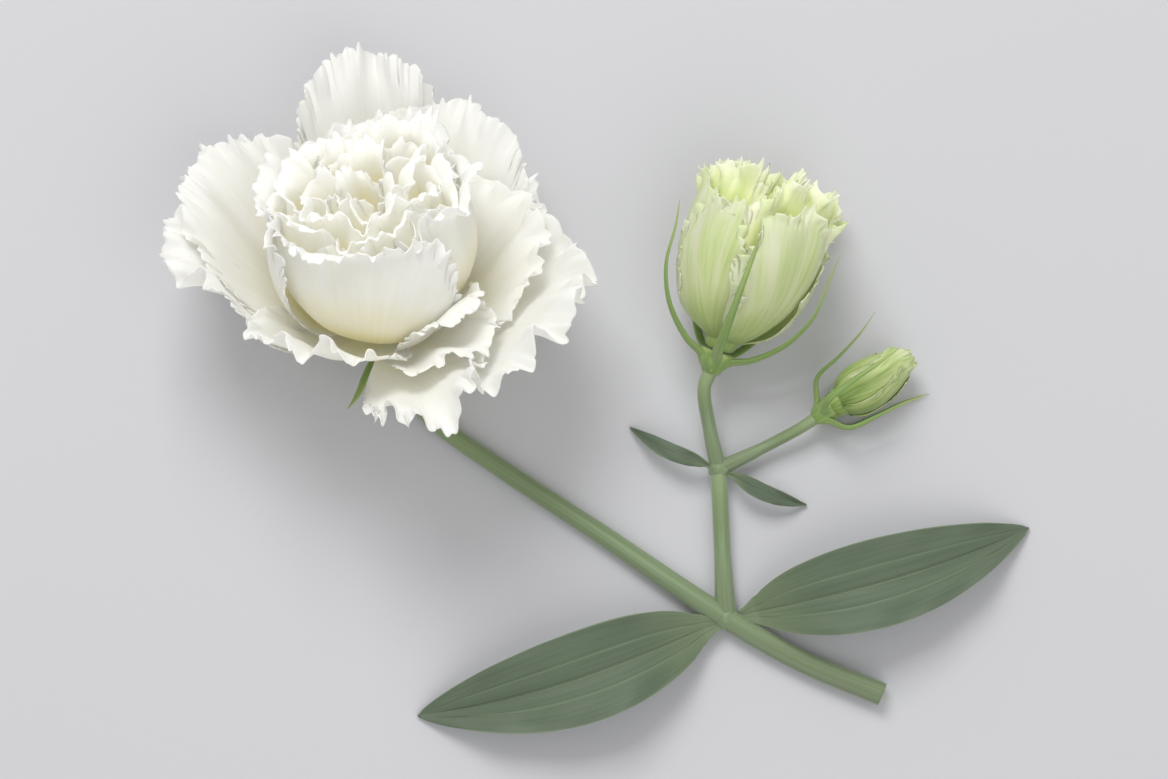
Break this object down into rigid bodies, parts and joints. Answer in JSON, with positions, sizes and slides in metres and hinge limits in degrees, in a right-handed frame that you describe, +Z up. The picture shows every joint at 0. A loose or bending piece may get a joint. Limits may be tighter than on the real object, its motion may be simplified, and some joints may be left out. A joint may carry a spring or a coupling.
{
  "type": "lisianthus flower",
  "caption": "Cut lisianthus stem lying on a surface: an open double fringed bloom with a half-open bud, a tight bud and small leaves.",
  "frame": {"origin": "on the surface that the flower lies on, under the middle of its box", "axes": "+X along the main stem towards its cut end, away from the bloom; +Y towards the side branch with the buds; +Z up"},
  "size_m": [0.1668, 0.125, 0.0495],
  "materials": {
    "petal_white": "soft, matte, slightly translucent white petal with a cream base",
    "bud_cream_green": "soft, matte cream-green petal",
    "bud_green": "satin pale green petal with darker green streaks",
    "calyx_green": "satin mid green",
    "stem_green": "satin mid green with a faint waxy bloom",
    "leaf_green": "matte grey-green with a waxy bloom and a paler midrib",
    "pistil_yellow": "matte yellow stigma on a green ovary"
  },
  "bodies": {
    "root": {"bloom_petals": "petal_white", "bloom_calyx": "calyx_green", "pistil": "pistil_yellow", "stem": "stem_green", "half_bud_petals": "bud_cream_green", "half_bud_calyx": "calyx_green", "small_bud_petals": "bud_green", "small_bud_calyx": "calyx_green", "leaf_right": "leaf_green", "leaf_left": "leaf_green", "bract_left": "leaf_green", "bract_right": "leaf_green"}
  },
  "joints": []
}
